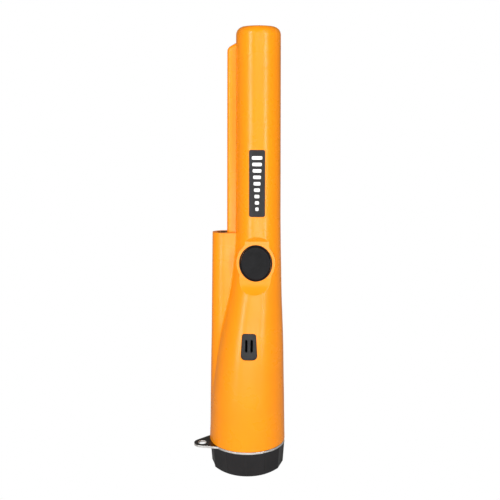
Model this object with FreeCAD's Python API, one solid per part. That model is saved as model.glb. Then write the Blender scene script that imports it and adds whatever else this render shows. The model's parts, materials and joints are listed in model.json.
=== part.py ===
import FreeCAD, Part
import math
import os

# Pinpointer probe: hand-held locating probe with a one-piece tapered shell,
# a side lamp pod, a scraping blade, a thumb button, a sounder grille and a
# screwed battery cap with a lanyard ring.
# Frame: origin at the centre of the cap's flat end, +Z towards the sensing
# tip, -Y is the button side, -X is the lamp pod side.  Millimetres.

os.makedirs("parts", exist_ok=True)
V = FreeCAD.Vector

# ---------------------------------------------------------------- dimensions
LENGTH = 229.2          # overall, cap end to tip
SHELL_Z0 = 14.6         # open end of the shell
WALL = 1.9              # shell wall
TIP_WALL = 2.4
TIP_FILLET = 4.0
# outline of the shell: height, centre x, radius
SHELL = [(14.6, -0.05, 20.20), (26.0, 0.06, 19.80), (38.0, 0.25, 19.40),
         (50.0, 0.75, 18.60), (65.0, 1.60, 17.48), (77.5, 2.50, 16.17),
         (86.0, 3.25, 15.03), (95.0, 4.05, 13.88), (104.0, 4.70, 13.03),
         (113.0, 5.12, 12.38), (120.0, 5.42, 11.93), (127.0, 5.58, 11.64),
         (140.0, 5.60, 11.47), (170.0, 5.60, 11.33), (200.0, 5.60, 11.18),
         (229.2, 5.60, 11.04)]
SHAFT_X = 5.60
# lamp pod: height, centre x, half width along x, half width along y
POD = [(14.8, -6.1, 13.97, 14.8), (30.0, -7.65, 12.15, 12.4), (45.0, -8.95, 10.62, 9.6),
       (60.0, -9.7, 9.55, 7.4), (75.0, -10.0, 8.90, 6.1), (91.0, -10.2, 8.44, 5.55),
       (110.0, -10.3, 8.00, 5.35), (127.0, -10.3, 7.70, 5.30)]
POD_TOP = 127.0
POD_CAVITY_TOP = 120.9
LED_X = -12.9
LED_BORE_R = 3.12       # takes the lamp's sleeve
LED_SLEEVE_IN = 2.68
CREASE_R = 1.2           # blend between lamp pod and shell
SCOOP_R, SCOOP_Z = 14.6, 106.2   # hollow below the button: its radius and where it starts
SEAT_EDGE_R = 0.8        # edge of the flat round the button
# blade along the shaft
BLADE_T = 4.4
BLADE_X0 = -10.5        # outer edge at the pod
BLADE_X1 = -9.82         # outer edge near the tip
BLADE_Z1 = 219.1        # where the outer edge starts to slope in
BLADE_Z2 = 221.6        # where the slope meets the shaft
# button seat
BTN_X, BTN_Z = 4.95, 112.4
SEAT_RX, SEAT_RZ = 8.40, 9.40
GASKET_T = 0.50
BTN_GAP = 0.30
BTN_RX, BTN_RZ = SEAT_RX - 0.02 - GASKET_T - BTN_GAP, SEAT_RZ - 0.02 - GASKET_T - BTN_GAP
BTN_PROUD = 0.95
SEAT_Y = -10.1
SEAT_DEPTH = 2.5
SEAT_FLOOR = 1.3
COLLAR_RX, COLLAR_RZ = 9.9, 11.1
BTN_TRAVEL = 0.5
# grille
GR_X, GR_Z0, GR_Z1 = 1.95, 63.5, 77.2
GR_W_TOP, GR_W_BOT = 7.1, 8.7
GR_GAP = 0.12
SLOT_W, SLOT_L, SLOT_PITCH = 1.15, 6.3, 2.75
# label plate
LB_Z0, LB_Z1, LB_W, LB_R, LB_T = 136.3, 169.5, 7.9, 1.0, 0.5
# cap and thread
CAP_TOP = 13.45
CAP_R_TOP, CAP_R_LOW, CAP_R_END = 20.05, 19.20, 16.9
FLUTES = 12
FLUTE_R = 36.0
FLUTE_PHASE = 0.7      # a ridge stands at this angle from -Y towards +X
NECK_R, NECK_IN, NECK_TOP = 16.8, 15.6, 24.2
SHOULDER_R = 17.45
MOUTH_R = 17.85
PITCH = 3.0
THREAD_Z0, THREAD_H = 18.2, 5.2
CAP_TRAVEL = 6.0
# lanyard ring
RING_Z0, RING_Z1 = 13.50, 14.55
RING_R, RING_IN = 19.95, 17.75
EAR_ANGLE = 19.0        # from -X towards -Y
EAR_RC, EAR_R, EAR_HOLE = 24.9, 4.35, 2.25
EAR_FLARE = 27.0
# battery
BAT = (26.5, 17.5, 46.4)
BAT_Z0 = 4.15
# board and frame
PCB = (-2.4, 13.6, 1.0, 2.6, 60.0, 152.0)
SPINE = (-2.2, 13.4, 3.0, 4.5, 58.0, 156.0)


def save(shape, name):
    if isinstance(shape, (list, tuple)):
        shape = Part.makeCompound(list(shape))
    shape.exportStep("parts/%s.step" % name)
    print(name, len(shape.Solids), "valid" if shape.isValid() else "NOT VALID", round(shape.Volume, 1))


def one(shape):
    s = shape.Solids
    return s[0] if len(s) == 1 else shape


def cyl(x, y, z, r, h, d=(0, 0, 1)):
    return Part.makeCylinder(r, h, V(x, y, z), V(*d))


def box(x0, x1, y0, y1, z0, z1):
    return Part.makeBox(x1 - x0, y1 - y0, z1 - z0, V(x0, y0, z0))


def ring(x, y, z, ro, ri, h, d=(0, 0, 1)):
    return cyl(x, y, z, ro, h, d).cut(Part.makeCylinder(ri, h + 2, V(x, y, z) - V(*d), V(*d)))


def interp(table, z, k):
    # monotone cubic through the table's column k
    zs = [t[0] for t in table]
    fs = [t[k] for t in table]
    n = len(zs)
    if z <= zs[0]:
        return fs[0]
    if z >= zs[-1]:
        return fs[-1]
    h = [zs[i + 1] - zs[i] for i in range(n - 1)]
    d = [(fs[i + 1] - fs[i]) / h[i] for i in range(n - 1)]
    m = [d[0]] + [0.0] * (n - 2) + [d[-1]]
    for i in range(1, n - 1):
        if d[i - 1] * d[i] > 0:
            w1, w2 = 2 * h[i] + h[i - 1], h[i] + 2 * h[i - 1]
            m[i] = (w1 + w2) / (w1 / d[i - 1] + w2 / d[i])
    i = max(j for j in range(n - 1) if zs[j] <= z)
    t = (z - zs[i]) / h[i]
    return (fs[i] * (1 + 2 * t) * (1 - t) ** 2 + m[i] * h[i] * t * (1 - t) ** 2
            + fs[i + 1] * t * t * (3 - 2 * t) + m[i + 1] * h[i] * t * t * (t - 1))


def stations(z0, z1, step=7.5):
    n = max(2, int(round((z1 - z0) / step)))
    return [z0 + (z1 - z0) * i / n for i in range(n + 1)]


def shell_rows(z0, z1, inset=0.0, step=7.5, extra=0.0):
    # evenly spaced rows keep the skin free of ripples; extra thickens the wall towards the open end
    return [(z, interp(SHELL, z, 1), interp(SHELL, z, 2) - inset - extra * max(0.0, (55.0 - z) / 30.0))
            for z in stations(z0, z1, step)]


def circle_loft(rows):
    wires = [Part.Wire([Part.makeCircle(r, V(cx, 0, z), V(0, 0, 1))]) for z, cx, r in rows]
    return Part.makeLoft(wires, True, False)


def ellipse_wire(cx, z, a, b):
    # major radius must not be the smaller one
    if a >= b:
        e = Part.Ellipse(V(cx, 0, z), a, b)
    else:
        e = Part.Ellipse(V(cx, b, z), V(cx - a, 0, z), V(cx, 0, z))
    return Part.Wire([e.toShape()])


def pod_loft(rows, grow=0.0):
    # one smooth closed curve per height, all starting at the same angle
    wires = []
    for z, cx, a, b in rows:
        pts = []
        n = 24
        for i in range(n):
            t = math.pi + 2 * math.pi * i / n
            pts.append(V(cx + (a + grow) * math.cos(t), (b + grow) * math.sin(t), z))
        c = Part.BSplineCurve()
        c.interpolate(pts, PeriodicFlag=True)
        wires.append(Part.Wire([c.toShape()]))
    return Part.makeLoft(wires, True, False)


def prism_y(pts, y0, y1):
    # pts are (x, z); the prism runs from y0 to y1
    w = Part.makePolygon([V(x, y0, z) for x, z in pts] + [V(pts[0][0], y0, pts[0][1])])
    return Part.Face(w).extrude(V(0, y1 - y0, 0))


def ellipse_cyl_y(cx, cz, rx, rz, y0, y1, draft=0.0):
    e = Part.Ellipse(V(0, 0, 0), max(rx, rz), min(rx, rz))
    # ellipse drawn in XY, major axis along X; turn it to stand in XZ
    s = Part.Wire([e.toShape()])
    f = Part.Face(s)
    if rz > rx:
        f.rotate(V(0, 0, 0), V(0, 0, 1), 90)
    f.rotate(V(0, 0, 0), V(1, 0, 0), 90)
    f.translate(V(cx, y0, cz))
    return f.extrude(V(0, y1 - y0, 0))


def revolve(pts, x=0.0, y=0.0):
    # pts are (r, z)
    w = Part.makePolygon([V(r, 0, z) for r, z in pts] + [V(pts[0][0], 0, pts[0][1])])
    s = Part.Face(w).revolve(V(0, 0, 0), V(0, 0, 1), 360)
    s.translate(V(x, y, 0))
    return s


def path_wire(points, bend):
    # straight runs joined by tangent arcs; bend is a radius or one per corner
    p = [V(*q) for q in points]
    n = len(p)
    if not isinstance(bend, (list, tuple)):
        bend = [bend] * (n - 2)
    edges = []
    start = p[0]
    length = 0.0
    for i in range(1, n - 1):
        a = (p[i - 1] - p[i]).normalize()
        b = (p[i + 1] - p[i]).normalize()
        ang = a.getAngle(b)
        t = bend[i - 1] / math.tan(ang / 2.0)
        s = p[i] + a * t
        e = p[i] + b * t
        bis = (a + b).normalize()
        c = p[i] + bis * (bend[i - 1] / math.sin(ang / 2.0))
        m = c + (p[i] - c).normalize() * bend[i - 1]
        if (s - start).Length > 1e-6:
            edges.append(Part.LineSegment(start, s).toShape())
            length += (s - start).Length
        edges.append(Part.Arc(s, m, e).toShape())
        length += bend[i - 1] * (math.pi - ang)
        start = e
    edges.append(Part.LineSegment(start, p[-1]).toShape())
    length += (p[-1] - start).Length
    return Part.Wire(edges), length


def wire_solid(points, bend, r):
    w, length = path_wire(points, bend)
    p = [V(*q) for q in points]
    d = (p[1] - p[0]).normalize()
    prof = Part.Wire([Part.makeCircle(r, p[0], d)])
    s = w.makePipeShell([prof], True, False)
    want = math.pi * r * r * length
    if abs(s.Volume - want) > 0.01 * want:
        print("  wire volume off", s.Volume, want)
    return s


def thread(pitch, height, r_in, r_out, w_in, w_out, z0, turn=0.0):
    # helical ridge, right-handed, trapezoid section
    helix = Part.makeHelix(pitch, height, (r_in + r_out) / 2.0)
    prof = Part.makePolygon([V(r_in, 0, -w_in / 2), V(r_out, 0, -w_out / 2), V(r_out, 0, w_out / 2),
                             V(r_in, 0, w_in / 2), V(r_in, 0, -w_in / 2)])
    pipe = Part.BRepOffsetAPI.MakePipeShell(Part.Wire(helix.Edges))
    pipe.setFrenetMode(True)
    pipe.add(prof)
    pipe.build()
    pipe.makeSolid()
    s = pipe.shape()
    if s.Volume < 0:
        s.reverse()
    s.rotate(V(0, 0, 0), V(0, 0, 1), turn)
    s.translate(V(0, 0, z0))
    return s


def fuse_all(items):
    s = items[0]
    for o in items[1:]:
        s = s.fuse(o)
    return s.removeSplitter()


# ------------------------------------------------------------------ envelope
tube = circle_loft(shell_rows(SHELL_Z0, LENGTH))
tip_edge = [e for e in tube.Edges if abs(e.BoundBox.ZMin - LENGTH) < 1e-3 and abs(e.BoundBox.ZMax - LENGTH) < 1e-3]
try:
    tube = tube.makeFillet(TIP_FILLET, tip_edge)
except Exception as ex:
    print("tip fillet", ex)

pod = pod_loft([(z, interp(POD, z, 1), interp(POD, z, 2), interp(POD, z, 3)) for z in stations(14.8, POD_TOP, 8.0)])
# blade: slab with a rounded outer edge and a sloping upper end
bl = [(SHAFT_X, 100.0), (BLADE_X0 - 0.1, 100.0), (BLADE_X1, BLADE_Z1), (-5.4, BLADE_Z2), (SHAFT_X, BLADE_Z2 + 3.0)]
blade = prism_y(bl, -BLADE_T / 2, BLADE_T / 2)
be = []
for e in blade.Edges:
    b = e.BoundBox
    # outer long edges and sloping edges
    if b.XMax < -5.0 and abs(abs(b.YMin) - BLADE_T / 2) < 1e-3 and b.YLength < 1e-3 and b.ZLength > 1:
        be.append(e)
corner = [e for e in blade.Edges if e.BoundBox.YLength > 1 and abs(e.BoundBox.XMin - BLADE_X1) < 1e-3]
try:
    blade = blade.makeFillet(3.0, corner)
    be = []
    for e in blade.Edges:
        b = e.BoundBox
        if b.XMax < -5.0 and b.YLength < 1e-3 and abs(abs(b.YMin) - BLADE_T / 2) < 1e-3:
            be.append(e)
    blade = blade.makeFillet(1.7, be)
except Exception as ex:
    print("blade fillet", ex)

# flat with run-out ramps, cut into the shell round the button
def scoop(a):
    # point of the scoop's curve below the button, a degrees past the flat
    a = math.radians(a)
    return V(-12, SEAT_Y - SCOOP_R * (1 - math.cos(a)), SCOOP_Z - SCOOP_R * math.sin(a))


flat_pts = [scoop(50), V(-12, -30.0, scoop(50).z), V(-12, -30.0, 127.5), V(-12, -12.4, 127.3), V(-12, SEAT_Y, 123.6), scoop(0)]
w = Part.Wire([Part.Arc(scoop(0), scoop(25), scoop(50)).toShape()] +
              [Part.makeLine(a, b) for a, b in zip(flat_pts, flat_pts[1:])])
flat = Part.Face(w).extrude(V(34, 0, 0))
collar = ellipse_cyl_y(BTN_X, BTN_Z, COLLAR_RX, COLLAR_RZ, SEAT_Y - 0.7, SEAT_Y + SEAT_DEPTH + SEAT_FLOOR)
# the shell stays as thick behind the flat as elsewhere
back_pts = [(SEAT_Y - 0.0, 123.6), (-12.4, 127.3), (-10.0, 128.6), (SEAT_Y + WALL, 124.6), (SEAT_Y + WALL, 104.6),
            (-12.3, 92.8), (-14.4, 93.4), (SEAT_Y - 0.0, 105.4)]
w = Part.makePolygon([V(-12, y, z) for y, z in back_pts] + [V(-12, back_pts[0][0], back_pts[0][1])])
backing = Part.Face(w).extrude(V(34, 0, 0))

outer = one(tube.fuse(collar))
outer = one(outer.cut(flat))
outer = one(outer.fuse(blade))
outer = one(outer.fuse(pod))


def round_edges(shape, radius, pick):
    # rounds the picked edges, or leaves them sharp where that gives a bad solid
    sel = [e for e in shape.Edges if pick(e.BoundBox, e)]
    try:
        f = shape.makeFillet(radius, sel)
        if f.isValid() and len(f.Solids) == 1 and abs(f.Volume - shape.Volume) < 0.02 * shape.Volume:
            return one(f)
    except Exception as ex:
        print("rounding", radius, len(sel), ex)
    return shape


outer = round_edges(outer, CREASE_R, lambda b, e: b.XMax < -5 and b.ZMax < 128 and b.ZLength > 60 and b.YLength > 2)

# the flat round the button runs out into the shell with a soft edge
outer = round_edges(outer, SEAT_EDGE_R, lambda b, e: b.YMax < -7 and b.ZMin > 90 and b.ZMax < 130 and b.XMin > -5.5
                    and not (b.ZLength < 0.01 and abs(b.ZMin - SCOOP_Z) < 0.1))

# -------------------------------------------------------------------- cavity
cavity = circle_loft(shell_rows(23.0, LENGTH - TIP_WALL, WALL, 7.5, 0.5))
pod_in = []
for z in stations(33.0, POD_CAVITY_TOP, 8.0):
    cx, a, b = interp(POD, z, 1), interp(POD, z, 2), interp(POD, z, 3)
    left, right = cx - a + WALL, cx + a - 1.0
    pod_in.append((z, (left + right) / 2, (right - left) / 2, b - WALL))
pod_cavity = pod_loft(pod_in)

mouth = cyl(0, 0, SHELL_Z0 - 1, MOUTH_R, 25.4 - SHELL_Z0 + 1)
housing = one(outer.cut(cavity))
housing = one(housing.cut(pod_cavity))
housing = one(housing.cut(mouth))
# seat material that stands inside the cavity
seat_block = one(collar.common(outer))
housing = one(housing.fuse(seat_block))
housing = one(housing.fuse(one(backing.common(outer))))
# screw bosses for the inner frame
BOSS = [(13.2, -7.6), (-9.6, 9.2)]
for x, y in BOSS:
    housing = one(housing.fuse(cyl(x, y, 58.15, 2.4, 9.5)))
for x, y in BOSS:
    housing = one(housing.cut(cyl(x, y, 57.0, 0.85, 8.5)))
# button pocket, post hole
pocket = ellipse_cyl_y(BTN_X, BTN_Z, SEAT_RX, SEAT_RZ, SEAT_Y - 3, SEAT_Y + SEAT_DEPTH)
post_hole = cyl(BTN_X, SEAT_Y - 1, BTN_Z, 3.3, 8, (0, 1, 0))
housing = one(housing.cut(pocket))
housing = one(housing.cut(post_hole))
# lamp bore in the pod top
housing = one(housing.cut(cyl(LED_X, 0, POD_CAVITY_TOP - 3, LED_BORE_R, POD_TOP - POD_CAVITY_TOP + 3)))


# grille window
def trapezoid(grow, y0, y1):
    zb, zt = GR_Z0 - grow, GR_Z1 + grow
    hb, ht = GR_W_BOT / 2 + grow, GR_W_TOP / 2 + grow
    s = prism_y([(GR_X - hb, zb), (GR_X + hb, zb), (GR_X + ht, zt), (GR_X - ht, zt)], y0, y1)
    lo = [e for e in s.Edges if e.BoundBox.YLength > 1 and e.BoundBox.ZMax < zb + 0.01]
    s = s.makeFillet(2.3, lo)
    hi = [e for e in s.Edges if e.BoundBox.YLength > 1 and e.BoundBox.ZMin > zt - 0.01]
    return s.makeFillet(1.6, hi)


housing = housing.cut(trapezoid(0.0, -20, -9))


# label recess
def plate(grow, y0, y1):
    h = LB_W / 2 + grow
    s = prism_y([(SHAFT_X - h, LB_Z0 - grow), (SHAFT_X + h, LB_Z0 - grow),
                 (SHAFT_X + h, LB_Z1 + grow), (SHAFT_X - h, LB_Z1 + grow)], y0, y1)
    return s.makeFillet(LB_R, [e for e in s.Edges if e.BoundBox.YLength > 1])


def shaft_skin(depth_out, depth_in, z0, z1):
    rows = [(z0, SHAFT_X, interp(SHELL, z0, 2)), (z1, SHAFT_X, interp(SHELL, z1, 2))]
    o = circle_loft([(z, c, r - depth_out) for z, c, r in rows])
    i = circle_loft([(z - (1 if k == 0 else -1), c, r - depth_in) for k, (z, c, r) in enumerate(rows)])
    return o.cut(i)


recess = plate(0.05, -20, -5).common(shaft_skin(-1.0, LB_T + 0.05, LB_Z0 - 2, LB_Z1 + 2))
housing = housing.cut(recess)

# internal thread of the mouth
th_in = thread(PITCH, 6.0, MOUTH_R - 0.70, MOUTH_R + 0.35, 0.75, 1.55, 18.1, 180.0)
th_in = th_in.common(cyl(0, 0, 17.2, MOUTH_R + 0.6, 7.8))
housing = housing.fuse(th_in)
# soften the open end
try:
    le = [e for e in housing.Edges if abs(e.BoundBox.ZMin - SHELL_Z0) < 1e-3 and abs(e.BoundBox.ZMax - SHELL_Z0) < 1e-3
          and e.BoundBox.XLength > 38]
    if le:
        housing = housing.makeFillet(0.5, le)
except Exception as ex:
    print("lip fillet", ex)
housing = one(housing)
save(housing, "housing")

# --------------------------------------------------------------------- label
label = plate(0.0, -20, -5).common(shaft_skin(0.03, LB_T, LB_Z0 - 1, LB_Z1 + 1))
save(one(label), "label_plate")

# -------------------------------------------------------------------- grille
gr_out = circle_loft(shell_rows(50.0, 95.0, 0.2))
gr_in = circle_loft(shell_rows(48.0, 97.0, WALL))
gr = trapezoid(-GR_GAP, -20, -9).common(gr_out.cut(gr_in))
slots = []
for sx in (-SLOT_PITCH / 2, SLOT_PITCH / 2):
    zc = 70.75
    s = prism_y([(GR_X + sx - SLOT_W / 2, zc - SLOT_L / 2), (GR_X + sx + SLOT_W / 2, zc - SLOT_L / 2),
                 (GR_X + sx + SLOT_W / 2, zc + SLOT_L / 2), (GR_X + sx - SLOT_W / 2, zc + SLOT_L / 2)], -20, -9)
    slots.append(s.makeFillet(SLOT_W / 2 - 0.02, [e for e in s.Edges if e.BoundBox.YLength > 1]))
save(one(gr.cut(slots)), "speaker_grille")
mem_o = circle_loft(shell_rows(50.0, 95.0, WALL + 0.08))
mem_i = circle_loft(shell_rows(48.0, 97.0, WALL + 0.38))
save(one(trapezoid(0.9, -20, -9).common(mem_o.cut(mem_i))), "grille_membrane")

# -------------------------------------------------------------------- sounder
BZ_X, BZ_Z, BZ_R = 2.1, 70.4, 6.9
bz = cyl(BZ_X, -12.3, BZ_Z, BZ_R, 3.2, (0, 1, 0))
bz = bz.cut(cyl(BZ_X, -12.4, BZ_Z, 1.2, 0.7, (0, 1, 0)))
save(one(bz), "buzzer_can")
bh = ring(BZ_X, -11.9, BZ_Z, BZ_R + 1.1, BZ_R + 0.06, 2.4, (0, 1, 0))
foot = box(BZ_X - 3.6, BZ_X + 3.6, -11.9, -9.5, 58.05, BZ_Z - BZ_R + 0.2)
foot2 = box(BZ_X - 5.0, BZ_X + 5.0, -11.9, -6.5, 58.05, 59.6)
bh = bh.fuse([foot, foot2]).cut(cyl(BZ_X, -14, BZ_Z, BZ_R + 0.06, 8, (0, 1, 0)))
bh = bh.cut(cyl(BZ_X - 3.2, -7.9, 55, 0.75, 8)).cut(cyl(BZ_X + 3.2, -7.9, 55, 0.75, 8))
save(one(bh.removeSplitter()), "buzzer_holder")

# -------------------------------------------------------------------- button
b_top = SEAT_Y - BTN_PROUD
body = ellipse_cyl_y(BTN_X, BTN_Z, BTN_RX, BTN_RZ, b_top, SEAT_Y + 1.75)
te = [e for e in body.Edges if e.BoundBox.YMax < b_top + 0.01]
body = body.makeFillet(0.6, te)
post = cyl(BTN_X, SEAT_Y + 1.5, BTN_Z, 2.6, -4.06 - (SEAT_Y + 1.5), (0, 1, 0))
gro = ring(BTN_X, -6.28, BTN_Z, 3.0, 2.0, 0.9, (0, 1, 0))
btn = body.fuse(post).cut(gro)
# shallow dish in the thumb face
dish = Part.makeSphere(58.0, V(BTN_X, b_top - 57.72, BTN_Z))
btn = btn.cut(dish.common(ellipse_cyl_y(BTN_X, BTN_Z, BTN_RX - 1.4, BTN_RZ - 1.4, b_top - 2, b_top + 2)))
save(one(btn.removeSplitter()), "power_button")
gk = ellipse_cyl_y(BTN_X, BTN_Z, SEAT_RX - 0.02, SEAT_RZ - 0.02, SEAT_Y - 0.35, SEAT_Y + SEAT_DEPTH - 0.02)
gk = gk.makeFillet(0.22, [e for e in gk.Edges if e.BoundBox.YMax < SEAT_Y - 0.34])
gk = gk.cut(ellipse_cyl_y(BTN_X, BTN_Z, BTN_RX + BTN_GAP, BTN_RZ + BTN_GAP, SEAT_Y - 3, SEAT_Y + 5))
save(one(gk), "button_gasket")
ret = ring(BTN_X, -6.25, BTN_Z, 4.4, 2.05, 0.8, (0, 1, 0))
ret = ret.cut(box(BTN_X - 1.4, BTN_X + 1.4, -8, -4, BTN_Z - 6, BTN_Z))
save(one(ret), "button_retainer")
sw = box(BTN_X - 3, BTN_X + 3, -2.4, 0.98, BTN_Z - 3, BTN_Z + 3)
sw = sw.cut(cyl(BTN_X, -3, BTN_Z, 1.76, 3.2, (0, 1, 0)))
legs = [box(BTN_X + sx * 3.4 - 0.4, BTN_X + sx * 3.4 + 0.4, 0.1, 0.98, BTN_Z + sz * 2.2 - 0.35, BTN_Z + sz * 2.2 + 0.35)
        for sx in (-1, 1) for sz in (-1, 1)]
save(one(sw.fuse(legs).removeSplitter()), "tact_switch_body")
pl = cyl(BTN_X, -4.06, BTN_Z, 1.70, 3.46, (0, 1, 0))
save(one(pl), "tact_switch_plunger")

# --------------------------------------------------------------- inner frame
x0, x1, y0, y1, z0, z1 = SPINE
spine = box(x0, x1, y0, y1, z0, z1)
spine = spine.cut([box(x0 + 3.5, x1 - 3.5, y0 - 1, y1 + 1, za, zb) for za, zb in ((88, 104), (122, 144))])
spine = spine.cut(box(0.6, 6.4, y0 - 1, y1 + 1, 59.2, 62.4))
bulk = cyl(1.1, 0, 55.1, 15.75, 2.95)
col = ring(SHAFT_X, 0, 154.0, 8.9, 6.6, 3.9)
rail = [box(x0, x0 + 1.2, y1 - 0.2, y1 + 0.7, z0, 150), box(x1 - 1.2, x1, y1 - 0.2, y1 + 0.7, z0, 150)]
SCREWS = [(-0.9, 64.0), (12.1, 64.0), (-0.9, 148.6), (12.1, 148.6)]
pads = [cyl(x, 2.64, z, 1.4, 0.5, (0, 1, 0)) for x, z in SCREWS]
frame = spine.fuse([bulk, col] + rail + pads)
frame = frame.cut([cyl(x, y, 54, 1.25, 6) for x, y in BOSS])
frame = frame.cut([cyl(x, 2, z, 0.72, 3.4, (0, 1, 0)) for x, z in SCREWS])
WIRE_X = (3.4, 7.8)
frame = frame.cut([cyl(x, -2.2, 54, 0.95, 6) for x in WIRE_X])
frame = frame.cut([cyl(BZ_X - 3.2, -7.9, 54, 0.62, 6), cyl(BZ_X + 3.2, -7.9, 54, 0.62, 6)])
save(one(frame.removeSplitter()), "inner_frame")
scr = []
for x, y in BOSS:
    s = cyl(x, y, 53.0, 1.85, 2.05).fuse(cyl(x, y, 55.0, 0.80, 8.6))
    s = s.cut(box(x - 1.2, x + 1.2, y - 0.25, y + 0.25, 52, 53.8)).cut(box(x - 0.25, x + 0.25, y - 1.2, y + 1.2, 52, 53.8))
    scr.append(one(s.removeSplitter()))
save(scr, "frame_screws")
bs = []
for x, z in SCREWS:
    s = cyl(x, -0.25, z, 1.5, 1.2, (0, 1, 0)).fuse(cyl(x, 0.9, z, 0.68, 3.4, (0, 1, 0)))
    s = s.cut(box(x - 1.0, x + 1.0, -1, 0.35, z - 0.2, z + 0.2)).cut(box(x - 0.2, x + 0.2, -1, 0.35, z - 1.0, z + 1.0))
    bs.append(one(s.removeSplitter()))
save(bs, "board_screws")
hs = []
for sx in (-3.2, 3.2):
    s = cyl(BZ_X + sx, -7.9, 59.62, 1.25, 1.0).fuse(cyl(BZ_X + sx, -7.9, 55.3, 0.58, 4.4))
    hs.append(one(s.removeSplitter()))
save(hs, "buzzer_holder_screws")

# --------------------------------------------------------------------- board
x0, x1, y0, y1, z0, z1 = PCB
pcb = box(x0, x1, y0, y1, z0, z1)
pcb = pcb.makeFillet(1.0, [e for e in pcb.Edges if e.BoundBox.YLength > 1 and e.BoundBox.ZLength < 0.01])
pcb = pcb.cut([cyl(x, y0 - 1, z, 0.85, 4, (0, 1, 0)) for x, z in SCREWS])
save(one(pcb), "circuit_board")


def chip(cx, cz, w, h, t, pins, along_z=True):
    s = box(cx - w / 2, cx + w / 2, 0.85 - t, 0.85, cz - h / 2, cz + h / 2)
    s = s.makeFillet(0.2, [e for e in s.Edges if e.BoundBox.YMax < 0.86 - t])
    parts = [s]
    n = pins
    for i in range(n):
        zz = cz - h / 2 + h * (i + 0.5) / n
        for sg in (-1, 1):
            xe = cx + sg * w / 2
            xs = sorted((xe - sg * 0.1, xe + sg * 1.0))
            parts.append(box(xs[0], xs[1], 0.60, 0.98, zz - 0.2, zz + 0.2))
    return fuse_all(parts)


save(one(chip(5.6, 132.0, 7.0, 9.0, 1.5, 8)), "microcontroller")
save([one(chip(1.8, 94.0, 3.9, 4.9, 1.4, 4)), one(chip(9.6, 94.0, 3.9, 4.9, 1.4, 4))], "amplifier_chips")
xt = box(9.7, 12.7, -2.4, 0.98, 116.6, 126.6)
xt = xt.makeFillet(1.3, [e for e in xt.Edges if e.BoundBox.YLength > 1])
save(one(xt), "crystal_can")
caps = []
for x, z, r, h in ((0.4, 84.0, 2.5, 6.5), (10.6, 82.5, 2.5, 6.5), (1.0, 145.0, 1.9, 4.6)):
    c = cyl(x, 0.98 - h, z, r, h, (0, 1, 0))
    c = c.makeFillet(0.35, [e for e in c.Edges if e.BoundBox.YMax < 0.99 - h])
    caps.append(one(c))
save(caps, "electrolytic_capacitors")
res = []
for x, z in ((0.2, 103.0), (10.4, 103.0), (0.0, 107.4), (10.6, 107.4), (0.2, 119.5), (0.2, 123.5), (5.6, 141.0),
             (9.2, 141.0), (5.6, 84.0), (5.6, 88.0), (9.8, 74.5), (12.2, 88.8)):
    res.append(box(x - 0.6, x + 0.6, 0.35, 0.98, z - 1.0, z + 1.0))
save(res, "chip_resistors")

# -------------------------------------------------------------- search coils
rod = cyl(SHAFT_X, 0, 159.0, 4.0, 62.0)
rod = rod.makeChamfer(0.3, [e for e in rod.Edges if e.BoundBox.ZLength < 0.01])
save(one(rod), "ferrite_rod")
bob = ring(SHAFT_X, 0, 158.0, 5.2, 4.06, 63.6)
bob = bob.fuse([ring(SHAFT_X, 0, z, 8.6, 4.06, 1.4) for z in (158.0, 189.2, 220.2)])
bob = bob.fuse(cyl(SHAFT_X, 0, 157.95, 4.4, 1.0))
save(one(bob.removeSplitter()), "coil_bobbin")
save(one(ring(SHAFT_X, 0, 159.45, 7.7, 5.24, 29.7)), "transmit_winding")
save(one(ring(SHAFT_X, 0, 190.65, 7.1, 5.24, 29.5)), "receive_winding")
save(one(cyl(SHAFT_X, 0, 221.75, 8.2, 4.7)), "nose_cushion")

lead = []
for x, z in ((3.4, 150.6), (7.8, 150.6)):
    lead.append(wire_solid([(x, -3.2, 157.9), (x, -3.2, z - 4.0), (x, 0.93, z - 4.0)], 1.6, 0.35))
save(lead, "transmit_coil_leads")
lead = []
for x, z in ((4.9, 148.8), (6.3, 148.8)):
    lead.append(wire_solid([(x, -4.2, 157.9), (x, -4.2, z - 5.2), (x, 0.93, z - 5.2)], 1.6, 0.35))
save(lead, "receive_coil_leads")

# -------------------------------------------------------------- contacts
cb = box(-11.6, 11.6, -5.6, 5.6, 53.45, 55.05)
cb = cb.makeFillet(2.0, [e for e in cb.Edges if e.BoundBox.ZLength > 1])
cb = cb.cut([cyl(x, -2.2, 52, 0.75, 4) for x in WIRE_X])
save(one(cb), "contact_board")
save(one(ring(-6.5, 0, 51.1, 3.9, 3.05, 2.3).fuse(ring(-6.5, 0, 52.8, 3.9, 1.0, 0.6)).removeSplitter()), "positive_contact")
stud = cyl(6.5, 0, 51.3, 2.6, 2.1)
stud = stud.makeFillet(0.5, [e for e in stud.Edges if e.BoundBox.ZMax < 51.31])
save(one(stud), "negative_contact")

r_bat = 0.60
save(wire_solid([(WIRE_X[1], -2.2, 55.2), (WIRE_X[1], -2.2, 67.0), (WIRE_X[1], 0.93, 67.0)], 2.0, r_bat), "battery_lead_red")
save(wire_solid([(WIRE_X[0], -2.2, 55.2), (WIRE_X[0], -2.2, 69.5), (WIRE_X[0], 0.93, 69.5)], 2.0, r_bat), "battery_lead_black")
bl = []
for x, zz in ((0.6, 79.0), (3.6, 79.0)):
    bl.append(wire_solid([(x, -9.05, 73.6), (x, -5.2, 73.6), (x, -5.2, zz), (x, 0.93, zz)], 1.6, 0.45))
save(bl, "buzzer_leads")

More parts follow.
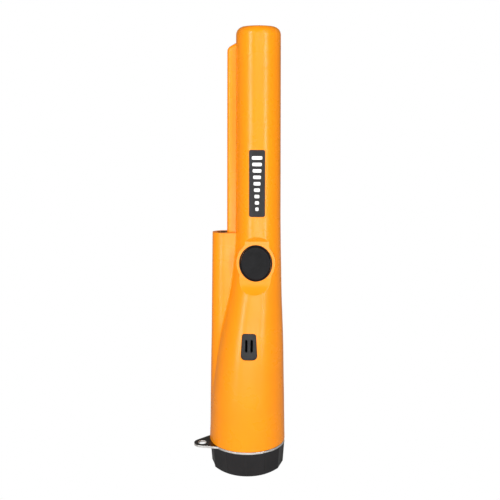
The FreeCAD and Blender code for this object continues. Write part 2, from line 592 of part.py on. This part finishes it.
# -------------------------------------------------------------- battery
bx, by, bz_ = BAT
bat = box(-bx / 2, bx / 2, -by / 2, by / 2, BAT_Z0, BAT_Z0 + bz_)
bat = bat.makeFillet(2.2, [e for e in bat.Edges if e.BoundBox.ZLength > 10])
bat = bat.makeFillet(0.6, [e for e in bat.Edges if e.BoundBox.ZLength < 0.01])
BT = BAT_Z0 + bz_
save(one(bat), "battery_case")
save(one(cyl(-6.5, 0, BT + 0.01, 2.85, 2.0).fuse(cyl(-6.5, 0, BT + 0.01, 3.6, 0.5)).removeSplitter()), "battery_positive")
neg = ring(6.5, 0, BT + 0.01, 4.3, 3.2, 1.9).fuse(cyl(6.5, 0, BT + 0.01, 4.6, 0.5))
save(one(neg.removeSplitter()), "battery_negative")

# -------------------------------------------------------------- motor
MX, MY = 3.5, 8.9
can = ring(MX, MY, 64.0, 3.0, 0.56, 11.6)
save(one(can), "motor_can")
ec = ring(MX, MY, 62.6, 2.9, 0.56, 1.35)
ec = ec.cut([cyl(MX + s, MY - 1.5, 62, 0.4, 3) for s in (-1.3, 1.3)])
save(one(ec), "motor_end_cap")
mc = box(MX - 4.4, MX + 4.4, 4.56, MY + 1.6, 66.0, 72.0)
mc = mc.cut(cyl(MX, MY, 60, 3.03, 20))
save(one(mc), "motor_clip")
save(one(cyl(MX, MY, 62.9, 0.50, 20.0)), "motor_shaft")
wt = cyl(MX, MY, 77.2, 3.4, 5.0).cut(box(MX - 5, MX + 5, MY - 0.9 - 6, MY - 0.9, 76, 84))
wt = wt.cut(cyl(MX, MY, 76, 0.51, 8))
save(one(wt), "eccentric_weight")
ml = []
for s in (-1.3, 1.3):
    x = MX + s
    ml.append(wire_solid([(x, MY - 1.5, 63.2), (x, MY - 1.5, 60.9), (x, 2.67, 60.9)], 1.2, 0.35))
save(ml, "motor_leads")

# -------------------------------------------------------------- lamp
sl = ring(LED_X, 0, 121.1, LED_BORE_R - 0.02, LED_SLEEVE_IN, POD_TOP - 0.15 - 121.1)
save(one(sl), "led_sleeve")
led = cyl(LED_X, 0, 121.0, 2.5, 2.6).fuse(Part.makeSphere(2.5, V(LED_X, 0, 123.6)))
led = led.fuse(cyl(LED_X, 0, 119.85, 2.75, 1.0)).fuse(cyl(LED_X, 0, 120.5, 2.5, 1.0))
save(one(led.removeSplitter()), "led_lamp")
lg = []
for s in (-1.27, 1.27):
    lg.append(box(LED_X + s - 0.25, LED_X + s + 0.25, -0.25, 0.25, 112.0, 119.8))
save(lg, "led_legs")
lw = []
for s, zz in ((-1.27, 97.5), (1.27, 100.5)):
    lw.append(wire_solid([(LED_X + s, 0, 111.95), (LED_X + s, 0, zz), (-0.6, 0, zz), (-0.6, 0.94, zz)], [3.0, 0.9], 0.45))
save(lw, "led_wires")

# -------------------------------------------------------------- cap
prof = [(0, 0), (CAP_R_END, 0), (CAP_R_LOW, 1.5), (CAP_R_TOP - 0.1, 12.2), (CAP_R_TOP, 12.5), (CAP_R_TOP, CAP_TOP),
        (SHOULDER_R, CAP_TOP), (SHOULDER_R, 14.5), (NECK_R, 14.9), (NECK_R, NECK_TOP - 0.5), (NECK_R - 0.5, NECK_TOP),
        (NECK_IN, NECK_TOP), (NECK_IN, 2.3), (0, 2.3)]
cap = revolve(prof)
flutes = []
half = math.pi * CAP_R_TOP / FLUTES - 0.45
dist = math.sqrt(CAP_R_TOP ** 2 - half ** 2) + math.sqrt(FLUTE_R ** 2 - half ** 2)
for i in range(FLUTES):
    # direction of the middle of each flute, measured from -Y towards +X
    a = math.radians(FLUTE_PHASE + 360.0 / FLUTES * (i + 0.5))
    dx, dy = math.sin(a), -math.cos(a)
    lean = math.atan((CAP_R_TOP - CAP_R_LOW) / 11.0)
    f = Part.makeCylinder(FLUTE_R, 18.0, V(dx * dist, dy * dist, 12.0), V(-dx * math.sin(lean), -dy * math.sin(lean), -math.cos(lean)))
    flutes.append(f)
cap = cap.cut(flutes)
cap = cap.cut(ring(0, 0, 15.35, 17.6, 16.30, 1.6))
th_out = thread(PITCH, THREAD_H, NECK_R - 0.25, NECK_R + 0.70, 1.40, 0.70, THREAD_Z0, 0.0)
cap = cap.fuse(th_out)
save(one(cap), "battery_cap")
orr = 0.72
tor = Part.makeTorus(17.80 - orr, orr, V(0, 0, 16.15))
save(one(tor), "cap_o_ring")
save(one(cyl(0, 0, 2.35, 13.5, 1.7)), "battery_cushion")

# -------------------------------------------------------------- lanyard ring
ua = math.radians(EAR_ANGLE)
ux, uy = -math.cos(ua), -math.sin(ua)
vx, vy = -uy, ux
fl = math.radians(EAR_FLARE)
ecx, ecy = ux * EAR_RC, uy * EAR_RC
pts = []
# tangent points on the round end, then out to the washer
for sg in (1, -1):
    nx = ux * math.sin(fl) + sg * vx * math.cos(fl)
    ny = uy * math.sin(fl) + sg * vy * math.cos(fl)
    tx, ty = ecx + nx * EAR_R, ecy + ny * EAR_R
    dx, dy = -ux * math.cos(fl) + sg * vx * math.sin(fl), -uy * math.cos(fl) + sg * vy * math.sin(fl)
    pts.append(((tx, ty), (tx + dx * 9.6, ty + dy * 9.6)))
poly = [V(pts[0][0][0], pts[0][0][1], RING_Z0), V(pts[0][1][0], pts[0][1][1], RING_Z0), V(ux * 8, uy * 8, RING_Z0),
        V(pts[1][1][0], pts[1][1][1], RING_Z0), V(pts[1][0][0], pts[1][0][1], RING_Z0)]
tab = Part.Face(Part.makePolygon(poly + [poly[0]])).extrude(V(0, 0, RING_Z1 - RING_Z0))
th = RING_Z1 - RING_Z0
lr = cyl(0, 0, RING_Z0, RING_R, th).fuse([tab, cyl(ecx, ecy, RING_Z0, EAR_R, th)]).removeSplitter()
lr = lr.cut([cyl(0, 0, RING_Z0 - 1, RING_IN, 4), cyl(ecx, ecy, RING_Z0 - 1, EAR_HOLE, 4)])
save(one(lr), "lanyard_ring")
print("EAR", ecx, ecy)
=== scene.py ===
import bpy
import bmesh
import json
import math
import numpy as np
from mathutils import Vector, Matrix


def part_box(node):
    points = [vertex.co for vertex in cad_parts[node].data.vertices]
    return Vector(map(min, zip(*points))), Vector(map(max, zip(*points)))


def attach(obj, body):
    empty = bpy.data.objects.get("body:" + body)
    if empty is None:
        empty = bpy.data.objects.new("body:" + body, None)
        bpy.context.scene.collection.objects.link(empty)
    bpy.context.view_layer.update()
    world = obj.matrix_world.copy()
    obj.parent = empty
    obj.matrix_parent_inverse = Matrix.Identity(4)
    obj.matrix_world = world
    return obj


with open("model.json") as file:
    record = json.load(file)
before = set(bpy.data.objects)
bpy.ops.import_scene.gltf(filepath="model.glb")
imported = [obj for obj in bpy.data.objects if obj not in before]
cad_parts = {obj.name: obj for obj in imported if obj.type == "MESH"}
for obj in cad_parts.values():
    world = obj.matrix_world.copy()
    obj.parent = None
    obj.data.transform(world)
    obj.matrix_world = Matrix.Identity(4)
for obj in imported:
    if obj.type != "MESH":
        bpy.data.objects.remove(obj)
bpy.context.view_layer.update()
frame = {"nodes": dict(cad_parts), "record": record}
scene = bpy.context.scene

# ------------------------------------------------------------------ camera
AZ = math.radians(3.7)
right = Vector((math.cos(AZ), math.sin(AZ), 0))
fwd = Vector((-math.sin(AZ), math.cos(AZ), 0))
PITCH_DOWN = math.radians(10.13)
cam_data = bpy.data.cameras.new("camera")
cam = bpy.data.objects.new("camera", cam_data)
scene.collection.objects.link(cam)
cam_data.sensor_width = 36.0
cam_data.lens = 770.0 / 500.0 * 36.0
cam.location = right * 0.0014 - fwd * 0.393 + Vector((0, 0, 0.1877))
look = fwd * math.cos(PITCH_DOWN) - Vector((0, 0, 1)) * math.sin(PITCH_DOWN)
cam.rotation_mode = "QUATERNION"
cam.rotation_quaternion = look.to_track_quat("-Z", "Y")
cam_data.clip_start = 0.01
cam_data.clip_end = 50
scene.camera = cam
scene.view_settings.view_transform = "Standard"
scene.view_settings.look = "None"

# ------------------------------------------------------------------ lights


def area(name, az_deg, dist, z, w, h, watts, aim_z=0.11, tint=(1, 1, 1), spread=None):
    """Soft box at an angle from the camera's side, positive to the camera's right."""
    a = math.radians(az_deg)
    d = -fwd * math.cos(a) + right * math.sin(a)
    ld = bpy.data.lights.new(name, "AREA")
    ld.shape = "RECTANGLE"
    ld.size, ld.size_y = w, h
    ld.energy = watts
    ld.color = tint
    if spread:
        ld.spread = math.radians(spread)
    o = bpy.data.objects.new(name, ld)
    scene.collection.objects.link(o)
    o.location = d * dist + Vector((0, 0, z))
    o.rotation_mode = "QUATERNION"
    o.rotation_quaternion = (Vector((0, 0, aim_z)) - o.location).to_track_quat("-Z", "Y")
    return o


area("strip_left", -41, 0.46, 0.235, 0.05, 0.50, 1.06)
area("strip_right", 37, 0.46, 0.235, 0.05, 0.50, 0.97)
area("side_left", -100, 1.0, 0.50, 0.9, 0.9, 0.8).visible_glossy = False
area("side_right", 96, 1.0, 0.50, 0.9, 0.9, 0.5).visible_glossy = False
# most of the frontal light is too broad to show as a reflection
area("front_fill", 2, 1.7, 0.66, 1.3, 0.6, 16.0, 0.06).visible_glossy = False
area("front_gloss", 2, 1.7, 0.62, 1.3, 0.6, 4.2, 0.08)
area("low_card", 0, 0.60, 0.035, 0.55, 0.05, 0.85, 0.02)
area("back_fill", 180, 1.4, 0.45, 1.2, 0.8, 10.0, 0.08).visible_glossy = False

world = bpy.data.worlds.new("world")
scene.world = world
world.use_nodes = True
wn = world.node_tree.nodes
wl = world.node_tree.links
wn.clear()
w_out = wn.new("ShaderNodeOutputWorld")
w_mix = wn.new("ShaderNodeMixShader")
w_cam = wn.new("ShaderNodeBackground")
w_cam.inputs["Color"].default_value = (1, 1, 1, 1)
w_cam.inputs["Strength"].default_value = 1.0
w_amb = wn.new("ShaderNodeBackground")
w_amb.inputs["Color"].default_value = (1, 0.99, 0.98, 1)
w_amb.inputs["Strength"].default_value = 0.16
w_lp = wn.new("ShaderNodeLightPath")
wl.new(w_lp.outputs["Is Camera Ray"], w_mix.inputs[0])
wl.new(w_amb.outputs[0], w_mix.inputs[1])
wl.new(w_cam.outputs[0], w_mix.inputs[2])
wl.new(w_mix.outputs[0], w_out.inputs[0])

# ------------------------------------------------------------------ nodes


class Tree:
    """Short calls for building a material."""

    def __init__(self, name):
        self.mat = bpy.data.materials.new(name)
        self.mat.use_nodes = True
        self.nt = self.mat.node_tree
        self.n = self.nt.nodes
        self.n.clear()
        self.out = self.n.new("ShaderNodeOutputMaterial")
        self.bsdf = self.n.new("ShaderNodeBsdfPrincipled")
        self.nt.links.new(self.bsdf.outputs[0], self.out.inputs[0])
        self.co = self.n.new("ShaderNodeTexCoord").outputs["Object"]

    def link(self, a, b):
        self.nt.links.new(a, b)

    def mapping(self, scale=(1, 1, 1), rot=(0, 0, 0), src=None):
        m = self.n.new("ShaderNodeMapping")
        m.inputs["Scale"].default_value = scale
        m.inputs["Rotation"].default_value = rot
        self.link(src or self.co, m.inputs["Vector"])
        return m.outputs[0]

    def noise(self, scale, detail=3.0, rough=0.5, dist=0.0, vec=None):
        t = self.n.new("ShaderNodeTexNoise")
        t.inputs["Scale"].default_value = scale
        t.inputs["Detail"].default_value = detail
        t.inputs["Roughness"].default_value = rough
        t.inputs["Distortion"].default_value = dist
        self.link(vec or self.co, t.inputs["Vector"])
        return t.outputs["Fac"]

    def voronoi(self, scale, feature="F1", vec=None, rnd=1.0):
        t = self.n.new("ShaderNodeTexVoronoi")
        t.feature = feature
        t.inputs["Scale"].default_value = scale
        t.inputs["Randomness"].default_value = rnd
        self.link(vec or self.co, t.inputs["Vector"])
        return t.outputs["Distance"]

    def ramp(self, src, stops, interp="LINEAR"):
        r = self.n.new("ShaderNodeValToRGB")
        r.color_ramp.interpolation = interp
        e = r.color_ramp.elements
        while len(e) > 1:
            e.remove(e[-1])
        e[0].position = stops[0][0]
        e[0].color = self.col(stops[0][1])
        for p, c in stops[1:]:
            k = e.new(p)
            k.color = self.col(c)
        self.link(src, r.inputs[0])
        return r.outputs[0]

    @staticmethod
    def col(c):
        if isinstance(c, (int, float)):
            return (c, c, c, 1)
        return (c[0], c[1], c[2], 1)

    def mixc(self, fac, a, b, mode="MIX"):
        m = self.n.new("ShaderNodeMix")
        m.data_type = "RGBA"
        m.blend_type = mode
        m.clamp_factor = True
        for sock, v in ((m.inputs[0], fac), (m.inputs[6], a), (m.inputs[7], b)):
            if hasattr(v, "node"):
                self.link(v, sock)
            elif sock == m.inputs[0]:
                sock.default_value = v
            else:
                sock.default_value = self.col(v)
        return m.outputs[2]

    def math(self, op, a, b=0.0, clamp=False):
        m = self.n.new("ShaderNodeMath")
        m.operation = op
        m.use_clamp = clamp
        for sock, v in ((m.inputs[0], a), (m.inputs[1], b)):
            if hasattr(v, "node"):
                self.link(v, sock)
            else:
                sock.default_value = v
        return m.outputs[0]

    def bump(self, height, strength=0.2, distance=0.0002, normal=None):
        b = self.n.new("ShaderNodeBump")
        b.inputs["Strength"].default_value = strength
        b.inputs["Distance"].default_value = distance
        self.link(height, b.inputs["Height"])
        if normal is not None:
            self.link(normal, b.inputs["Normal"])
        return b.outputs[0]

    def set(self, **kw):
        for k, v in kw.items():
            s = self.bsdf.inputs[k.replace("_", " ")]
            if hasattr(v, "node"):
                self.link(v, s)
            elif isinstance(v, (tuple, list)):
                s.default_value = self.col(v)
            else:
                s.default_value = v
        return self.mat


def moulded(name, base, shade, rough=0.38, grain=2600.0, bump=0.10, scuff=0.25, spec=0.45, mottle=60.0, soft=0.0):
    """Moulded plastic: a slow drift of colour, fine spark-eroded grain, faint scuffs and handling marks."""
    t = Tree(name)
    drift = t.noise(mottle, 4, 0.55)
    c = t.mixc(t.ramp(drift, [(0.30, 0), (0.72, 1)]), base, shade)
    fine = t.noise(grain, 2, 0.6)
    cells = t.voronoi(grain * 0.62, "SMOOTH_F1")
    c = t.mixc(t.ramp(fine, [(0.35, 0), (0.75, 0.10)]), c, tuple(x * 0.72 for x in shade))
    # fine handling scratches, mostly along the body
    s1 = t.noise(900, 2, 0.5, 0.2, t.mapping((1, 1, 0.045), (0.10, 0.06, 0)))
    s2 = t.noise(700, 2, 0.5, 0.2, t.mapping((1, 1, 0.05), (0.9, -0.35, 0.2)))
    s = t.math("MAXIMUM", t.ramp(s1, [(0.66, 0), (0.74, 1)]), t.ramp(s2, [(0.69, 0), (0.76, 1)]))
    where = t.ramp(t.noise(38, 3, 0.6), [(0.48, 0), (0.62, 1)])
    s = t.math("MULTIPLY", s, where)
    s = t.math("MULTIPLY", s, scuff)
    c = t.mixc(t.math("MULTIPLY", s, 0.35), c, tuple(min(1, x * 1.25 + 0.03) for x in base))
    r = t.ramp(drift, [(0.25, rough - 0.05), (0.75, rough + 0.06)])
    r = t.math("ADD", r, t.math("MULTIPLY", s, 0.25), True)
    h = t.math("ADD", t.math("MULTIPLY", fine, 0.6), t.math("MULTIPLY", cells, 0.8))
    n0 = None
    if soft:
        bv = t.n.new("ShaderNodeBevel")
        bv.samples = 6
        bv.inputs["Radius"].default_value = soft
        n0 = bv.outputs[0]
    n = t.bump(h, bump, 0.00006, n0)
    n = t.bump(t.math("MULTIPLY", s, -1.0), 0.12, 0.00004, n)
    return t.set(Base_Color=c, Roughness=r, Normal=n, Specular_IOR_Level=spec)


def rubber(name, base, rough=0.62, grain=3200.0, bump=0.25, spec=0.3):
    t = Tree(name)
    a = t.noise(grain, 2, 0.6)
    b = t.noise(240, 4, 0.6)
    dust = t.ramp(t.noise(620, 5, 0.7), [(0.55, 0), (0.80, 0.22)])
    c = t.mixc(t.ramp(b, [(0.3, 0), (0.7, 1)]), base, tuple(x * 0.72 for x in base))
    c = t.mixc(dust, c, tuple(x * 1.5 + 0.02 for x in base))
    r = t.math("ADD", t.ramp(b, [(0.2, rough - 0.07), (0.8, rough + 0.07)]), t.math("MULTIPLY", dust, 0.25), True)
    n = t.bump(a, bump, 0.00006)
    return t.set(Base_Color=c, Roughness=r, Normal=n, Specular_IOR_Level=spec)


def metal(name, base, rough=0.25, brush=(1, 1, 60), bump=0.12, tarnish=0.25):
    t = Tree(name)
    br = t.noise(240, 4, 0.6, 0, t.mapping(brush))
    sp = t.ramp(t.noise(180, 4, 0.65), [(0.52, 0), (0.74, tarnish)])
    c = t.mixc(sp, base, tuple(x * 0.62 for x in base))
    r = t.math("ADD", t.ramp(br, [(0.3, rough - 0.06), (0.7, rough + 0.10)]), t.math("MULTIPLY", sp, 0.35), True)
    n = t.bump(br, bump, 0.00005)
    return t.set(Base_Color=c, Roughness=r, Normal=n, Metallic=1.0)


ORANGE = (0.93, 0.281, 0.0030)
ORANGE_SHADE = (0.90, 0.262, 0.0025)
M = {}
M["shell_orange"] = moulded("shell_orange", ORANGE, ORANGE_SHADE, rough=0.28, bump=0.055, soft=0.00035, spec=0.42)
M["black_rubber"] = rubber("black_rubber", (0.0090, 0.0090, 0.0100), spec=0.20, grain=1500, bump=0.55)
M["black_plastic"] = moulded("black_plastic", (0.0165, 0.0155, 0.0160), (0.0125, 0.0120, 0.0130), rough=0.40, bump=0.14, mottle=90, scuff=0.5, spec=0.33, soft=0.0006)
M["label_black"] = moulded("label_black", (0.016, 0.0155, 0.0165), (0.013, 0.0125, 0.0135), rough=0.42, bump=0.05, scuff=0.3, mottle=120, spec=0.3)


def stamped_metal_painted_glint(name, face, edge):
    """Stamped sheet metal coloured by facing: dull faces with handling blots under a dark painted shade, and edges
    with a near-white painted highlight that is partly bright sheared metal.
    """
    t = Tree(name)
    sep = t.n.new("ShaderNodeSeparateXYZ")
    t.link(t.n.new("ShaderNodeTexCoord").outputs["Normal"], sep.inputs[0])
    # painted light: up- and down-facing surfaces take the dark face colour as painted shade, sideways-facing edges
    # take the bright edge colour as a painted highlight
    painted_face_shade_mask = t.ramp(t.math("ABSOLUTE", sep.outputs["Z"]), [(0.55, 0), (0.85, 1)])
    br = t.noise(300, 4, 0.6, 0, t.mapping((1, 1, 24)))
    blot = t.ramp(t.noise(260, 5, 0.65), [(0.40, 0), (0.72, 1)])
    f = t.mixc(blot, face, tuple(x * 0.55 for x in face))
    e = t.mixc(t.ramp(t.noise(420, 4, 0.6), [(0.50, 0), (0.85, 0.5)]), edge, (0.50, 0.42, 0.34))
    c = t.mixc(painted_face_shade_mask, e, f)
    r = t.math("ADD", t.ramp(painted_face_shade_mask, [(0, 0.42), (1, 0.27)]), t.math("MULTIPLY", blot, 0.12), True)
    bv = t.n.new("ShaderNodeBevel")
    bv.samples = 6
    bv.inputs["Radius"].default_value = 0.00025
    return t.set(Base_Color=c, Roughness=r, Normal=t.bump(br, 0.12, 0.00005, bv.outputs[0]), Metallic=1.0)


# the dark brown face colour is painted shade, and the near-white edge colour is a painted highlight that is partly
# bright sheared metal
M["ring_steel"] = stamped_metal_painted_glint("ring_steel", (0.17, 0.148, 0.132), (0.97, 0.96, 0.93))
M["seal_rubber"] = rubber("seal_rubber", (0.012, 0.012, 0.012), rough=0.5, bump=0.1)
M["foam"] = rubber("foam", (0.075, 0.075, 0.08), rough=0.9, grain=1300, bump=0.8)
M["frame_plastic"] = moulded("frame_plastic", (0.030, 0.030, 0.034), (0.022, 0.022, 0.026), rough=0.5, scuff=0.2)
M["screw_steel"] = metal("screw_steel", (0.55, 0.55, 0.56), rough=0.3, brush=(20, 1, 1))
M["chip_black"] = moulded("chip_black", (0.012, 0.012, 0.013), (0.009, 0.009, 0.010), rough=0.5, scuff=0.1, grain=5000)
M["can_steel"] = metal("can_steel", (0.62, 0.62, 0.64), rough=0.28)
M["cap_sleeve"] = moulded("cap_sleeve", (0.018, 0.022, 0.06), (0.014, 0.016, 0.045), rough=0.25, scuff=0.1)
M["ferrite"] = moulded("ferrite", (0.035, 0.035, 0.038), (0.026, 0.026, 0.028), rough=0.55, scuff=0.4)
M["bobbin_plastic"] = moulded("bobbin_plastic", (0.58, 0.56, 0.50), (0.50, 0.48, 0.43), rough=0.45, scuff=0.1)
M["contact_brass"] = metal("contact_brass", (0.80, 0.68, 0.42), rough=0.25)
M["wire_red"] = rubber("wire_red", (0.42, 0.012, 0.012), rough=0.45, bump=0.05)
M["wire_black"] = rubber("wire_black", (0.012, 0.012, 0.013), rough=0.45, bump=0.05)
M["wire_white"] = rubber("wire_white", (0.55, 0.55, 0.54), rough=0.45, bump=0.05)
M["battery_jacket"] = moulded("battery_jacket", (0.035, 0.045, 0.060), (0.025, 0.032, 0.045), rough=0.3, scuff=0.5)
M["membrane_black"] = rubber("membrane_black", (0.0022, 0.0022, 0.0022), rough=0.9, grain=5200, bump=0.9, spec=0.04)


def board():
    t = Tree("board_green")
    c = t.mixc(t.ramp(t.noise(160, 3, 0.5), [(0.3, 0), (0.7, 1)]), (0.012, 0.10, 0.035), (0.008, 0.075, 0.026))
    # copper runs under the lacquer
    wv = t.n.new("ShaderNodeTexWave")
    wv.inputs["Scale"].default_value = 320
    wv.inputs["Distortion"].default_value = 2.2
    wv.inputs["Detail"].default_value = 1.0
    t.link(t.mapping((1, 1, 0.35)), wv.inputs["Vector"])
    run = t.ramp(wv.outputs["Fac"], [(0.62, 0), (0.70, 1)], "LINEAR")
    c = t.mixc(t.math("MULTIPLY", run, 0.6), c, (0.03, 0.20, 0.07))
    n = t.bump(run, 0.2, 0.00004)
    return t.set(Base_Color=c, Roughness=t.ramp(run, [(0, 0.28), (1, 0.36)]), Normal=n, Specular_IOR_Level=0.5)


M["board_green"] = board()


def copper():
    t = Tree("copper")
    wv = t.n.new("ShaderNodeTexWave")
    wv.bands_direction = "Z"
    wv.inputs["Scale"].default_value = 1400
    wv.inputs["Distortion"].default_value = 0.4
    t.link(t.co, wv.inputs["Vector"])
    c = t.mixc(wv.outputs["Fac"], (0.36, 0.10, 0.035), (0.62, 0.22, 0.09))
    c = t.mixc(t.ramp(t.noise(300, 3, 0.5), [(0.4, 0), (0.8, 0.4)]), c, (0.25, 0.08, 0.03))
    return t.set(Base_Color=c, Roughness=t.ramp(wv.outputs["Fac"], [(0, 0.42), (1, 0.26)]),
                 Normal=t.bump(wv.outputs["Fac"], 0.6, 0.0001), Metallic=0.9)


M["copper"] = copper()


def lamp():
    t = Tree("lamp_clear")
    c = t.mixc(t.ramp(t.noise(400, 3, 0.5), [(0.35, 0), (0.7, 1)]), (0.93, 0.94, 0.95), (0.85, 0.88, 0.90))
    return t.set(Base_Color=c, Roughness=t.ramp(t.noise(900, 2, 0.5), [(0.3, 0.04), (0.8, 0.16)]),
                 Normal=t.bump(t.noise(1500, 2, 0.5), 0.05, 0.00004), Transmission_Weight=0.85, IOR=1.5)


M["lamp_clear"] = lamp()

for name, ob in frame["nodes"].items():
    sl = [s["material_slot"] for s in frame["record"]["subparts"] if s["node"] == name][0]
    ob.data.materials.clear()
    ob.data.materials.append(M[sl])


# ------------------------------------------------------------- label marks
# a plain rising scale of nine bars printed thick on the label, no lettering
t = Tree("mark_white")
c = t.mixc(t.ramp(t.noise(500, 4, 0.6), [(0.30, 0), (0.75, 1)]), (0.86, 0.86, 0.85), (0.74, 0.74, 0.73))
c = t.mixc(t.ramp(t.noise(2400, 3, 0.7), [(0.62, 0), (0.80, 0.55)]), c, (0.30, 0.30, 0.30))
M["mark_white"] = t.set(Base_Color=c, Roughness=t.ramp(t.noise(700, 3, 0.5), [(0.3, 0.42), (0.8, 0.58)]),
                        Normal=t.bump(t.noise(2600, 2, 0.5), 0.12, 0.00004), Specular_IOR_Level=0.3)


def label_marks():
    (lx0, ly0, lz0), (lx1, ly1, lz1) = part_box("label_plate")
    cx = (lx0 + lx1) / 2
    vs, fs = [], []

    def put(x, z, lift):
        rad = R_AT(z) + lift
        a = math.asin((x - cx) / R_AT(z))
        vs.append((cx + rad * math.sin(a), -rad * math.cos(a), z))
        return len(vs) - 1

    n, cols = 9, 16
    pitch = (lz1 - lz0 - 0.0046) / n
    for k in range(n):
        zc = lz0 + 0.0023 + pitch * (k + 0.5)
        hz = pitch * 0.27
        hx = 0.00080 + (0.00260 - 0.00080) * k / (n - 1)
        rr = min(hz, hx) * 0.6
        rings = []
        # foot in the label, top of the wall, face drawn in a little
        for grow, lift in ((0.0, -0.00010), (0.0, 0.00003), (-0.00005, 0.00006)):
            ax, az_, ar = hx + grow, hz + grow, rr + grow
            lo_row, hi_row = [], []
            for i in range(cols + 1):
                x = -ax * math.cos(math.pi * i / cols)
                over = max(0.0, abs(x) - (ax - ar))
                h = az_ - ar + math.sqrt(max(0.0, ar * ar - over * over))
                lo_row.append(put(cx + x, zc - h, lift))
                hi_row.append(put(cx + x, zc + h, lift))
            rings.append((lo_row, hi_row))
        for (l0, h0), (l1, h1) in zip(rings, rings[1:]):
            for i in range(cols):
                fs.append((l0[i], l0[i + 1], l1[i + 1], l1[i]))
                fs.append((h0[i + 1], h0[i], h1[i], h1[i + 1]))
            fs.append((h0[0], l0[0], l1[0], h1[0]))
            fs.append((l0[-1], h0[-1], h1[-1], l1[-1]))
        l, h = rings[-1]
        for i in range(cols):
            fs.append((l[i], l[i + 1], h[i + 1], h[i]))
        l, h = rings[0]
        for i in range(cols):
            fs.append((l[i], h[i], h[i + 1], l[i + 1]))
    me = bpy.data.meshes.new("label_marks")
    me.from_pydata(vs, [], fs)
    me.validate()
    bm = bmesh.new()
    bm.from_mesh(me)
    bmesh.ops.recalc_face_normals(bm, faces=bm.faces[:])
    bm.to_mesh(me)
    bm.free()
    me.materials.append(M["mark_white"])
    ob = bpy.data.objects.new("label_marks", me)
    scene.collection.objects.link(ob)
    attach(ob, "shell")
    return ob


# outer radius of the label's face along its length
LAB = frame["nodes"]["label_plate"].data
_co = np.empty(len(LAB.vertices) * 3)
LAB.vertices.foreach_get("co", _co)
_P = _co.reshape(-1, 3)
(_lx0, _ly0, _lz0), (_lx1, _ly1, _lz1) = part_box("label_plate")
_cx = (_lx0 + _lx1) / 2
_r = np.hypot(_P[:, 0] - _cx, _P[:, 1])
_mid = (_lz0 + _lz1) / 2
_rl = float(_r[_P[:, 2] < _mid].max())
_rh = float(_r[_P[:, 2] > _lz1 - 0.0015].max())
_zl = float(_P[_P[:, 2] < _mid][np.argmax(_r[_P[:, 2] < _mid]), 2])


def R_AT(z):
    f = (z - _zl) / (_lz1 - _zl)
    return _rl + (_rh - _rl) * f


label_marks()


# ------------------------------------------------------------------- stage
def build_stage():
    # one sweep: floor, bend and back wall; the floor is 6.5 mm down, so that the cap has room to back off
    prof = [(-3.0, 0.0), (1.6, 0.0)]
    for i in range(1, 13):
        a = math.pi / 2 * i / 12
        prof.append((1.6 + 0.9 * math.sin(a), 0.9 - 0.9 * math.cos(a)))
    prof.append((2.5, 4.0))
    me = bpy.data.meshes.new("studio_sweep")
    vs, fs = [], []
    for d, z in prof:
        for s in (-4.0, 4.0):
            p = fwd * d + right * s
            vs.append((p.x, p.y, z - 0.0065))
    for i in range(len(prof) - 1):
        fs.append((2 * i, 2 * i + 1, 2 * i + 3, 2 * i + 2))
    me.from_pydata(vs, [], fs)
    for p in me.polygons:
        p.use_smooth = True
    ob = bpy.data.objects.new("studio_sweep", me)
    scene.collection.objects.link(ob)
    t = Tree("studio_white")
    c = t.mixc(t.ramp(t.noise(3.0, 3, 0.5), [(0.3, 0), (0.7, 1)]), (0.36, 0.36, 0.36), (0.34, 0.34, 0.34))
    t.set(Base_Color=c, Roughness=0.9, Specular_IOR_Level=0.1)
    t.bsdf.inputs["Emission Color"].default_value = (1, 1, 1, 1)
    t.bsdf.inputs["Emission Strength"].default_value = 0.05
    # the sweep itself is lit to plain white, and throws back only a part of that
    glow = t.n.new("ShaderNodeEmission")
    glow.inputs["Color"].default_value = (1, 1, 1, 1)
    glow.inputs["Strength"].default_value = 1.0
    lp = t.n.new("ShaderNodeLightPath")
    mix = t.n.new("ShaderNodeMixShader")
    t.link(lp.outputs["Is Camera Ray"], mix.inputs[0])
    t.link(t.bsdf.outputs[0], mix.inputs[1])
    t.link(glow.outputs[0], mix.inputs[2])
    # seen from below it is clear, so that the underside shows
    clear = t.n.new("ShaderNodeBsdfTransparent")
    side = t.n.new("ShaderNodeMixShader")
    t.link(t.n.new("ShaderNodeNewGeometry").outputs["Backfacing"], side.inputs[0])
    t.link(mix.outputs[0], side.inputs[1])
    t.link(clear.outputs[0], side.inputs[2])
    t.link(side.outputs[0], t.out.inputs[0])
    me.materials.append(t.mat)


build_stage()
